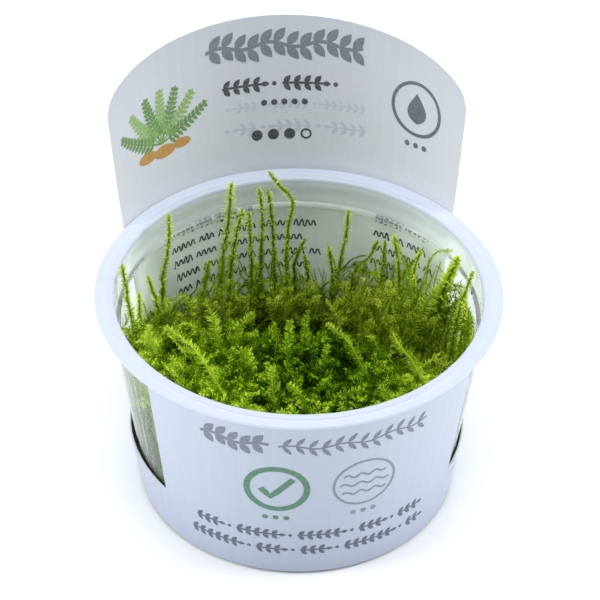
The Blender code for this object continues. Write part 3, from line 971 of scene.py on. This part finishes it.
# Hollows between the shoots of the mat, sunk lower and painted darker as shade: x, y and radius
HOLLOWS = (
    (12.5, 1.6, 2.6), (13.1, -2.2, 2.0), (9.2, -5.9, 2.2), (-8.9, -6.8, 1.7), (20.0, 16.4, 2.2), (9.3, 7.2, 1.8),
    (-4.5, -15.3, 2.3), (-7.1, 4.7, 2.3), (1.6, 1.0, 1.8), (25.3, 0.5, 1.8), (25.3, 10.6, 1.7), (17.1, -8.4, 1.6),
    (6.7, 17.5, 1.6), (-13.5, -3.6, 1.7), (29.5, 9.4, 1.8), (-15.9, 12.9, 1.5), (9.3, -11.6, 1.5), (31.5, 4.5, 1.5),
    (8.2, 19.9, 2.3), (17.4, 19.6, 1.8), (-6.3, 21.2, 2.0),
)


def sunk(x, y):
    """How deep a place lies in a hollow, from 0 to 1."""
    return max(float(smoothstep((1.35 * r - hypot(x - hx, y - hy)) / (0.8 * r))) for hx, hy, r in HOLLOWS)


# Bright fronds that lie over the mat: points from foot to tip, tone, leaf, warmth
FRONDS = (
    ([(-19.1, -14.7, 36.0), (-22.1, -9.6, 39.9), (-24.9, -2.0, 40.6), (-28.3, 4.2, 40.2), (-32.0, 7.4, 41.6)], 1.06, 1.6, 0.12),
    ([(17.3, -4.9, 32.2), (15.5, -2.3, 33.9), (14.3, 2.1, 35.2), (12.3, 6.6, 35.6), (10.5, 9.0, 36.0), (8.7, 13.2, 35.0)], 0.84, 1.15, 0.18),
    ([(30.8, -7.3, 31.2), (28.9, -0.7, 32.6), (26.4, 2.1, 34.6), (24.6, 9.8, 34.6), (23.1, 14.1, 35.4)], 1.02, 1.4, 0.14),
    ([(-2.9, -1.9, 34.8), (-2.7, 1.1, 36.7), (-1.5, 8.1, 35.8), (-0.3, 16.7, 33.8)], 0.72, 1.35, 0.05),
    ([(-7.5, -15.8, 34.5), (-7.6, -13.8, 37.0), (-7.5, -10.3, 38.4), (-6.8, -5.7, 38.2)], 0.84, 1.3, 0.2),
    ([(-19.0, 2.3, 36.9), (-19.8, 4.9, 40.0), (-20.3, 14.1, 39.2), (-21.9, 17.1, 41.1)], 0.80, 1.8, 0.28),
    ([(0.2, -17.5, 34.4), (-0.5, -17.0, 36.6), (-1.8, -15.3, 37.5), (-3.5, -10.6, 36.6)], 0.80, 1.3, 0.12),
    ([(17.4, -10.6, 31.3), (21.0, -7.6, 32.6), (24.2, -7.5, 33.4), (27.1, -7.7, 34.0)], 0.80, 1.2, 0.14),
    ([(-14.0, 6.2, 35.6), (-14.8, 8.4, 37.4), (-12.6, 13.1, 37.2), (-9.5, 17.5, 36.0)], 0.74, 1.4, 0.15),
    ([(8.1, -13.1, 32.6), (9.8, -13.3, 34.9), (12.0, -13.5, 35.2), (14.6, -12.0, 34.7)], 0.76, 1.3, 0.10),
    ([(-34.4, -2.0, 38.5), (-36.3, -0.8, 41.6), (-37.0, 2.5, 42.4), (-36.2, 9.2, 41.2)], 0.82, 1.2, 0.3),
    ([(3.3, -2.6, 32.9), (5.2, -2.7, 34.8), (7.1, 0.5, 35.2), (7.9, 5.3, 35.0)], 0.72, 1.3, 0.05),
    ([(0.7, 2.6, 34.2), (2.8, 8.3, 34.9), (3.4, 15.4, 33.2), (4.3, 19.3, 33.0)], 0.68, 1.3, 0.05),
    ([(20.8, 1.7, 31.9), (20.8, 3.4, 33.7), (19.8, 6.1, 34.2), (18.3, 10.2, 33.4)], 0.76, 1.3, 0.12),
    ([(28.6, 5.0, 30.0), (29.8, 8.2, 33.9), (31.8, 10.8, 37.6), (34.2, 12.6, 41.4), (36.2, 13.2, 44.6)], 0.84, 2.3, 0.24),
    ([(12.5, 13.0, 32.0), (11.4, 17.0, 34.6), (9.5, 21.0, 36.0)], 0.88, 1.1, 0.40),
    ([(-28.5, -12.0, 37.0), (-30.6, -8.4, 40.0), (-31.4, -3.4, 41.2)], 0.82, 1.3, 0.25),
    ([(22.6, -17.0, 30.6), (21.4, -14.0, 33.6), (19.0, -11.6, 34.6)], 0.82, 1.3, 0.14),
    ([(-17.0, -22.0, 35.0), (-15.4, -19.4, 37.6), (-13.6, -15.0, 38.0)], 0.80, 1.3, 0.15),
)


def cushion():
    """The mat: a tangle painted dark as shade, and leafy plumes that stand out
    of it to the surface."""
    rng = np.random.default_rng(7)
    parts = {k: Growth() for k in ("front", "left", "right", "middle", "back")}

    def part_of(x, y):
        if y > 14:
            return parts["back"]
        if hypot(x, y + 2) < 19:
            return parts["middle"]
        if y < -14:
            return parts["front"]
        return parts["left"] if x < 0 else parts["right"]

    def places(spacing, wander):
        rows = int(84 / spacing)
        for i in range(rows + 1):
            for j in range(rows + 1):
                x = -42 + spacing * (i + 0.5 * (j % 2)) + rng.normal(0, wander)
                y = -42 + spacing * j + rng.normal(0, wander)
                pick = rng.random(8)
                if hypot(x, y) < 42.2:
                    yield x, y, pick

    def painted_light_and_warmth(x, y):
        r = hypot(x, y)
        edge = float(smoothstep((r - 24) / 16.0))
        side = float(smoothstep((abs(x) - 12) / 20.0))
        front = float(smoothstep((-y - 10) / 16.0))
        hollow = float(smoothstep((20.0 - hypot(x - 6.0, y + 1.0)) / 14.0))
        behind = float(smoothstep((y - 8.0) / 12.0))
        rightward = float(smoothstep((x - 12) / 18.0))
        # painted light and shade by place: lighter at the front, the sides and to the right, darker in the broad dip
        # in the middle and in the sunken back; warm is the moss's own olive tint
        bright = 0.66 + 0.06 * edge + 0.12 * side + 0.23 * front + 0.14 * rightward - 0.20 * hollow
        bright -= 0.26 * behind * (1 - 0.5 * side)
        warm = 0.02 + 0.10 * edge + 0.08 * side + 0.20 * behind
        return bright, warm, behind

    # the tangle underneath, painted darker than the plumes as their shade, and darker still in the hollows
    for x, y, pick in places(2.35, 0.7):
        bright, warm, behind = painted_light_and_warmth(x, y)
        low = sunk(x, y)
        height = float(moss_height(x, y)) + rng.normal(-1.3, 0.8) - 2.2 * low - 2.0 * behind
        lean1 = 10 + 70 * pick[2]
        points = arching(x, y, height, rng, 5.0 + 4.0 * pick[4], lean1 + 8 + 30 * pick[3], lean1, pick[1] * 2 * pi)
        tip = bright - 0.20 - 0.22 * low + rng.normal(0, 0.06)
        w = max(0.0, warm + rng.normal(0, 0.05))
        shoot(
            part_of(x, y), points, rng, leaf=(1.3, 1.2), width=0.25, step=0.27, spread=68, tip_spread=46,
            stem=(0.16, 0.11), tone=(tip - 0.34, tip), warm=(w, w), detail=1, bare=0.15, jitter=10.0,
        )
    # the plumes
    for x, y, pick in places(2.05, 0.65):
        bright, warm, behind = painted_light_and_warmth(x, y)
        low = sunk(x, y)
        if low > 0.7 or (behind > 0.35 and pick[6] < 0.85):
            continue
        proud = pick[0] < 0.2
        height = float(moss_height(x, y)) + rng.normal(0.2, 0.9) + (1.2 if proud else 0.0) - 3.0 * low - 2.4 * behind
        lean1 = 18 + 52 * pick[2]
        points = arching(x, y, height, rng, 6.5 + 4.0 * pick[4], lean1 - 8 + 24 * pick[3], lean1, pick[1] * 2 * pi)
        # painted light and shade: plumes that stand proud are coloured lighter, those in hollows darker
        top = bright + rng.normal(0, 0.10) + (0.10 if proud else 0.0) - 0.16 * low
        w = max(0.0, warm + rng.normal(0, 0.06))
        shoot(
            part_of(x, y), points, rng, leaf=(1.6, 1.2), width=0.28, step=0.20, spread=70, tip_spread=38,
            stem=(0.18, 0.13), tone=(top - 0.50, top + 0.20), stem_tone=(top - 0.52, top - 0.06), warm=(w, w),
            detail=1, bare=0.12, jitter=6.0, rows=0.85, mottle=0.045,
        )
    for points, bright, leaf, warm in FRONDS:
        x, y, _ = points[len(points) // 2]
        points = wavy(smooth_line(points, 14)[0], rng, 0.2)
        shoot(
            part_of(x, y), points, rng, leaf=(0.6 * leaf, 0.5 * leaf), width=0.32, step=0.15, spread=32,
            tip_spread=22, stem=(0.26, 0.16), tone=(bright - 0.24, bright - 0.10), stem_tone=(bright - 0.32, bright - 0.18),
            warm=(warm, warm + 0.05), detail=1, sides=5, swing=0.0,
        )
        shoot(
            part_of(x, y), points, rng, leaf=(1.25 * leaf, 0.9 * leaf), width=0.25 + 0.09 * leaf, step=0.16 + 0.08 * leaf,
            spread=62, tip_spread=30, stem=(0.2, 0.15), tone=(bright - 0.03, bright + 0.14),
            warm=(warm, warm + 0.12), detail=2, swing=0.0, jitter=6.0, rows=0.8,
            over=(-0.08, -0.73, 0.68), mottle=0.05,
        )
    total = 0
    for key, g in parts.items():
        g.finish("moss_mat_" + key, ["moss_cushion"])
        total += g.triangles
        print("moss_mat_" + key, g.triangles)
    print("mat", total)


# Slender stems that stand behind the mat: kind, and points from low to tip
STANDING = (
    ("thin", [(-33.0, 20.4, 27.9), (-35.3, 18.7, 32.2), (-36.4, 18.9, 36.4), (-37.3, 19.8, 40.6)]),
    ("thin", [(-14.9, 29.0, 28.8), (-17.1, 30.0, 32.5), (-18.8, 31.0, 36.1), (-20.0, 32.0, 38.7)]),
    ("leafy", [(-21.8, 28.5, 32.4), (-21.2, 29.3, 36.0), (-20.1, 30.2, 39.2), (-20.5, 31.0, 42.8)]),
    ("leafy", [(-21.2, 27.0, 32.9), (-19.8, 28.0, 36.0), (-18.2, 29.0, 38.7), (-16.5, 30.0, 40.7)]),
    ("leafy", [(-20.8, 27.0, 30.6), (-21.0, 26.5, 33.0), (-22.5, 25.7, 34.4), (-24.6, 24.8, 35.1), (-27.0, 24.0, 36.1)]),
    ("thin", [(-23.0, 27.0, 26.4), (-23.7, 28.3, 29.3), (-23.3, 29.7, 32.2), (-22.1, 31.0, 34.7)]),
    ("thin", [(-26.2, 27.0, 23.9), (-25.5, 28.0, 27.1), (-24.4, 29.0, 30.2), (-24.8, 30.0, 32.7)]),
    ("thin", [(-6.3, 30.0, 32.1), (-10.1, 30.8, 37.9), (-11.8, 31.7, 41.7), (-13.8, 32.5, 47.0)]),
    ("thin", [(-12.0, 29.0, 29.6), (-14.5, 29.8, 34.1), (-16.0, 30.7, 37.2), (-16.9, 31.5, 40.2)]),
    ("thin", [(-9.4, 30.0, 30.3), (-10.1, 30.5, 34.9), (-11.6, 31.0, 37.6), (-12.3, 31.5, 41.2)]),
    ("leafy", [(-18.5, 28.0, 32.6), (-17.4, 28.7, 36.9), (-16.6, 29.3, 41.2), (-16.0, 30.0, 45.6)]),
    ("leafy", [(-13.9, 28.5, 31.8), (-14.6, 29.0, 36.4), (-14.8, 29.5, 41.0), (-14.2, 30.0, 45.4)]),
    ("leafy", [(-5.1, 31.0, 29.2), (-4.1, 31.7, 33.5), (-3.5, 32.3, 38.6), (-3.2, 33.0, 43.3)]),
    ("thin", [(-1.8, 31.0, 28.9), (-0.7, 31.8, 33.2), (-1.4, 32.7, 37.5), (-2.4, 33.5, 40.9)]),
    ("leafy", [(-8.9, 29.0, 30.1), (-8.1, 29.5, 33.9), (-7.8, 30.0, 38.5), (-7.8, 30.5, 42.3)]),
    ("branch", [(0.0, 30.3, 40.4), (0.9, 32.0, 41.6), (3.0, 33.3, 42.9), (5.6, 34.0, 43.5)]),
    ("thin", [(9.8, 32.0, 29.3), (8.2, 32.7, 31.9), (6.4, 33.3, 35.8), (4.6, 34.0, 40.6)]),
    ("branch", [(13.0, 31.9, 35.1), (12.9, 33.0, 37.2), (12.1, 34.0, 39.8), (11.1, 34.5, 43.4)]),
    ("dark", [(9.1, 31.0, 31.2), (12.8, 31.8, 35.0), (15.4, 32.5, 37.8), (17.8, 33.2, 39.7), (21.2, 34.0, 39.8)]),
    ("thin", [(19.8, 32.5, 27.9), (19.8, 33.0, 31.1), (20.3, 33.5, 34.4), (21.0, 34.0, 38.2)]),
    ("dark", [(16.3, 29.0, 27.3), (17.8, 29.7, 30.0), (19.4, 30.3, 31.7), (21.0, 31.0, 33.0)]),
    ("leafy", [(15.0, 27.0, 27.0), (15.0, 27.7, 30.5), (15.5, 28.3, 32.6), (16.1, 29.0, 34.6)]),
    ("dark", [(20.9, 29.0, 28.3), (22.5, 30.0, 30.7), (24.4, 31.0, 33.1), (26.3, 32.0, 35.5)]),
    ("thin", [(25.7, 28.5, 25.0), (26.4, 29.7, 30.7), (26.2, 31.5, 35.9), (25.8, 33.6, 41.5)]),
    ("thin", [(23.9, 31.0, 25.1), (24.1, 32.0, 29.6), (23.3, 33.0, 33.5), (23.6, 34.0, 37.4)]),
    ("bright", [(31.7, 19.6, 35.3), (30.7, 23.3, 39.6), (29.7, 26.4, 43.1), (28.7, 29.0, 45.3), (27.6, 31.4, 47.7)]),
    ("leafy", [(32.4, 19.2, 34.9), (31.9, 22.0, 37.9), (30.9, 25.0, 40.8), (30.3, 27.4, 44.1)]),
    ("leafy", [(30.2, 23.2, 31.0), (30.3, 25.0, 34.9), (31.1, 26.1, 39.3), (32.1, 26.6, 42.7)]),
    ("leafy", [(26.9, 29.0, 21.8), (27.3, 30.0, 27.7), (27.8, 31.0, 32.9), (28.0, 32.0, 38.7)]),
    ("dark", [(29.9, 26.7, 38.2), (31.6, 26.4, 41.9), (33.0, 26.2, 44.6), (34.4, 26.0, 47.6)]),
    ("thin", [(33.0, 20.5, 36.4), (33.8, 21.6, 39.4), (34.9, 22.7, 43.0), (35.9, 23.7, 46.7)]),
    ("thin", [(35.6, 15.3, 39.2), (36.2, 17.4, 42.0), (37.1, 19.0, 44.9), (38.2, 20.1, 47.8)]),
    ("thin", [(34.2, 17.7, 37.3), (35.0, 19.0, 40.1), (36.2, 19.7, 43.3), (37.1, 20.8, 45.1)]),
    ("bright", [(36.8, 13.9, 41.5), (37.8, 14.6, 44.8), (39.3, 14.3, 49.2), (41.0, 13.4, 53.6)]),
    ("thin", [(35.0, 21.6, 41.5), (36.0, 22.8, 46.6), (37.5, 21.7, 49.6), (38.7, 19.7, 51.3), (40.0, 17.2, 53.2)]),
    ("branch", [(37.2, 13.4, 42.2), (38.9, 13.6, 45.2), (40.8, 11.5, 46.8), (42.7, 8.0, 48.6)]),
    ("thin", [(41.0, 1.5, 37.8), (41.6, 2.9, 40.8), (42.0, 4.9, 43.3), (42.5, 6.2, 46.5)]),
    ("dark", [(40.5, 6.2, 35.9), (41.1, 5.7, 38.2), (41.8, 3.8, 40.0), (42.4, 0.0, 41.9)]),
    ("thin", [(39.2, 5.0, 33.7), (39.8, 6.8, 37.7), (40.0, 9.1, 40.1), (40.0, 11.6, 42.2)]),
    ("thin", [(3.6, 30.0, 29.4), (4.7, 31.0, 32.5), (3.7, 32.0, 35.7), (3.0, 33.0, 37.6)]),
    ("thin", [(15.4, 31.0, 30.4), (14.1, 32.0, 33.0), (15.0, 33.0, 34.1), (16.9, 34.0, 35.5)]),
    ("leafy", [(28.6, 25.9, 27.0), (28.9, 27.0, 30.7), (28.5, 28.8, 33.9), (29.3, 29.5, 37.9)]),
    ("leafy", [(33.0, 17.2, 31.8), (33.6, 18.6, 35.3), (33.5, 20.6, 37.6), (34.5, 21.1, 41.0)]),
    ("leafy", [(35.7, 14.2, 32.8), (36.2, 15.7, 36.2), (37.0, 16.6, 39.3), (38.3, 16.0, 41.7)]),
)

STYLES = {
    "web": dict(leaf=(0.95, 0.8), width=0.20, step=0.21, spread=64, tip_spread=44, stem=(0.13, 0.10), tone=(0.44, 0.72), stem_tone=(0.30, 0.50), warm=(0.45, 0.58), detail=1, sides=3),
    "thin": dict(leaf=(1.15, 0.95), width=0.23, step=0.18, spread=66, tip_spread=40, stem=(0.20, 0.15), tone=(0.54, 0.80), stem_tone=(0.36, 0.56), warm=(0.45, 0.55), detail=1, sides=4),
    "dark": dict(leaf=(1.10, 0.90), width=0.23, step=0.17, spread=62, tip_spread=36, stem=(0.25, 0.20), tone=(0.48, 0.66), stem_tone=(0.34, 0.42), warm=(0.5, 0.5), detail=1, sides=5),
    "branch": dict(leaf=(1.10, 0.95), width=0.24, step=0.16, spread=64, tip_spread=36, stem=(0.21, 0.19), tone=(0.52, 0.72), stem_tone=(0.38, 0.48), warm=(0.45, 0.55), detail=1, sides=5),
    "leafy": dict(leaf=(1.60, 1.25), width=0.28, step=0.125, spread=66, tip_spread=44, stem=(0.24, 0.19), tone=(0.54, 0.80), stem_tone=(0.40, 0.58), warm=(0.32, 0.42), detail=1, sides=4),
    "bright": dict(leaf=(1.90, 1.35), width=0.35, step=0.12, spread=66, tip_spread=36, stem=(0.34, 0.28), tone=(0.72, 0.98), stem_tone=(0.54, 0.7), warm=(0.24, 0.34), detail=1, sides=5),
}


def standing():
    """Stems behind the mat, in front of the back wall."""
    rng = np.random.default_rng(19)
    g = Growth()
    for kind, points in STANDING:
        if kind != "branch":
            # down to its foot in the mat
            x, y, z = points[0]
            x1, y1, z1 = points[1]
            foot_z = float(moss_height(x, y)) - 2.0
            if z > foot_z:
                drop = z - foot_z
                k = min(0.45, 1.5 / max(drop, 0.1))
                points = [(x - (x1 - x) * k * 1.2, y - (y1 - y) * k * 1.2, foot_z), *points]
        shoot(g, points, rng, swing=0.2, **STYLES[kind])
    for k in range(760):
        phi = radians(180 + rng.uniform(-88, 88) if k % 3 else rng.uniform(98, 152))
        r = 41.4 * sqrt(rng.uniform(0.24, 1.0))
        x, y = r * sin(phi), -r * cos(phi)
        if y < 7:
            continue
        h = float(moss_height(x, y)) - 1.6
        near = float(smoothstep((y - 6) / 20))
        rightward = float(smoothstep((x - 10) / 14))
        leftward = float(smoothstep((-x - 12) / 12))
        most = 2.5 + (12.5 - 4.5 * leftward) * near + 8.5 * rightward
        tall = most * (0.22 + 0.78 * rng.random() ** 1.3)
        kind = ("web", "web", "web", "thin", "thin", "dark")[int(rng.integers(0, 6))]
        if rng.random() < 0.3:
            lean, bend = rng.uniform(35, 75), rng.uniform(-40, 20)
        else:
            lean, bend = rng.uniform(0, 34), rng.uniform(-34, 38)
        points = arching(x, y, h + tall, rng, tall + 2.0, lean + bend, lean, rng.uniform(0, 2 * pi))
        style = dict(STYLES[kind])
        shift = rng.normal(0.0, 0.07)
        style["tone"] = (style["tone"][0] - 0.12 + shift, style["tone"][1] - 0.04 + shift)
        style["stem_tone"] = (style["stem_tone"][0] - 0.08 + shift, style["stem_tone"][1] + shift)
        style["sides"] = 3
        style["warm"] = tuple(v + rng.uniform(-0.15, 0.15) for v in style["warm"])
        shoot(g, points, rng, swing=0.6, **style)
    print("standing", g.triangles)
    g.finish("moss_back_stems", ["moss_cushion"])

    # a thin web up the wall at each side
    g = Growth()
    for middle, half, count, rise in ((92.0, 34.0, 600, 22.0), (278.0, 24.0, 60, 9.0)):
        for k in range(count):
            off = rng.uniform(-1.0, 1.0)
            thick = min(1.0, 1.9 * (1 - abs(off)))
            if rng.random() > 0.25 + 0.75 * thick:
                continue
            phi = radians(middle + half * off)
            top = float(moss_height(41 * sin(phi), -41 * cos(phi)))
            z = top + rise * (0.30 + 0.70 * thick) * rng.random() ** 1.05 + rng.normal(0, 0.5)
            z = min(z, 46.5 - 3.0 * rng.random())
            reach, lean = rng.uniform(3.5, 7.0), radians(rng.normal(0, 55))
            depth = rng.uniform(0.2, 1.4)
            points = []
            for t in (0.0, 0.33, 0.66, 1.0):
                zz = z - reach * (1 - t) * cos(lean)
                arc = phi + (reach * (t - 1)) * sin(lean) / 43.0
                rr = wall_in(zz) - depth - 0.8 * (1 - t)
                points.append((rr * sin(arc), -rr * cos(arc), zz))
            style = dict(STYLES["web"])
            style["warm"] = (0.45, 0.5)
            style["tone"] = (0.50, 0.70)
            style["step"] = 0.20
            shoot(g, points, rng, swing=0.5, **style)
    print("wall net", g.triangles)
    g.finish("moss_wall_net", ["moss_cushion"])


def wall_layer():
    """Stems pressed against the wall, seen through it in the card's windows, coloured dark as painted shade, darker
    further down.
    """
    rng = np.random.default_rng(29)
    for key, middle in (("right", 90.0), ("left", 270.0)):
        g = Growth()
        for k in range(680):
            phi = radians(middle + rng.uniform(-38, 38))
            x0, y0 = sin(phi), -cos(phi)
            top = float(moss_height(41 * x0, 41 * y0)) + 1.5
            z = 13.0 + (top - 13.0) * rng.random() ** 1.25
            reach = rng.uniform(5.0, 9.0)
            lean = radians(rng.normal(0, 48))
            depth = abs(rng.normal(0, 0.4)) + 0.1
            points = []
            for t in (0.0, 0.33, 0.66, 1.0):
                zz = z - reach * (1 - t) * cos(lean)
                arc = phi + (reach * (t - 1)) * sin(lean) / 43.0
                rr = wall_in(zz) - depth - 1.2 * (1 - t)
                points.append((rr * sin(arc), -rr * cos(arc), max(zz, 2.0)))
            # painted shade: low tones, darker further down the wall
            bright = 0.19 + 0.14 * (z - 13) / 24 + rng.normal(0, 0.12)
            w = 0.35 + 0.35 * rng.random()
            shoot(
                g, points, rng, leaf=(1.3, 1.3), width=0.36, step=0.27, spread=60, tip_spread=34, stem=(0.18, 0.12),
                tone=(bright - 0.18, bright + 0.1), warm=(w, w), detail=1,
            )
        print("wall", key, g.triangles)
        g.finish("moss_at_wall_" + key, ["moss_cushion"])


def core():
    """Dense inside of the cushion, a few mm under its leaves, coloured as painted shade."""
    segments, rings = 96, 26
    verts, faces = [], []
    z0 = FLOOR_TOP + 0.3
    rng = np.random.default_rng(3)
    columns = []
    for k in range(segments):
        a = 2 * pi * k / segments
        ca, sa = cos(a), sin(a)
        rim_z = float(moss_height(40 * ca, 40 * sa)) - 2.0 - 3.5 * abs(sa)
        path = [(wall_in(2.0) - 4.2, z0), (wall_in(3.0) - 2.2, z0 + 1.4)]
        for i in range(9):
            z = 4.5 + (rim_z - 4.5) * i / 8
            path.append((wall_in(z) - 1.3 + rng.normal(0, 0.14), z))
        r_edge = path[-1][0]
        for i in range(1, rings):
            r = r_edge * (1 - i / rings)
            drop = 5.0 - min(1.0, max(0.0, (r - 34.0) / 6.0)) * (3.0 - 3.0 * abs(sa))
            z = float(moss_height(r * ca, r * sa)) - drop + rng.normal(0, 0.5)
            path.append((r, z))
        columns.append(len(verts))
        verts += [(r * ca, r * sa, z) for r, z in path]
        n = len(path)
    low, high = len(verts), len(verts) + 1
    verts += [(0, 0, z0), (0, 0, float(moss_height(0, 0)) - 5.0)]
    for k in range(segments):
        a, b = columns[k], columns[(k + 1) % segments]
        for i in range(n - 1):
            faces += [(a + i, b + i, b + i + 1), (a + i, b + i + 1, a + i + 1)]
        faces += [(low, b, a), (a + n - 1, b + n - 1, high)]
    obj = build_mesh("moss_core", verts, faces, core_painted_shade)
    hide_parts("moss_cushion")


tall_shoots()
cushion()
standing()
wall_layer()
core()

# ------------------------------------------------------------ floor and lighting
floor_mesh = bpy.data.meshes.new("floor")
s = 3.0
floor_mesh.from_pydata([(-s, -s, 0), (s, -s, 0), (s, s, 0), (-s, s, 0)], [], [(0, 1, 2, 3)])
floor = bpy.data.objects.new("floor", floor_mesh)
floor.location = (0, 0, -0.0002)
bpy.context.scene.collection.objects.link(floor)
t = Tree("floor_paint")
shader = t.add("BsdfPrincipled", {"Base Color": (0.96, 0.97, 0.98), "Roughness": 0.7, "Specular IOR Level": 0.2})
t.surface(shader.outputs[0])
floor_mesh.materials.append(t.mat)

world = bpy.data.worlds.new("studio")
bpy.context.scene.world = world
world.use_nodes = True
world.node_tree.nodes["Background"].inputs["Color"].default_value = (0.95, 0.97, 1.0, 1.0)
world.node_tree.nodes["Background"].inputs["Strength"].default_value = 0.43


def area(name, place, target, size, power, colour=(1.0, 1.0, 1.0)):
    data = bpy.data.lights.new(name, "AREA")
    data.shape = "DISK"
    data.size = size
    data.energy = power
    data.color = colour
    obj = bpy.data.objects.new(name, data)
    bpy.context.scene.collection.objects.link(obj)
    obj.location = place
    obj.rotation_mode = "QUATERNION"
    obj.rotation_quaternion = (Vector(target) - Vector(place)).to_track_quat("-Z", "Y")


area("top", (0.0, -0.10, 1.25), (0, 0, 0.03), 0.9, 9.4, (1.0, 1.0, 0.99))
area("left", (-1.0, -0.05, 0.5), (0, 0, 0.03), 0.7, 7.6, (0.99, 0.99, 1.0))
area("right", (1.0, -0.05, 0.5), (0, 0, 0.03), 0.7, 7.6, (0.99, 0.99, 1.0))

scene = bpy.context.scene
scene.view_settings.view_transform = "Standard"
scene.view_settings.look = "None"
scene.view_settings.exposure = 0.0
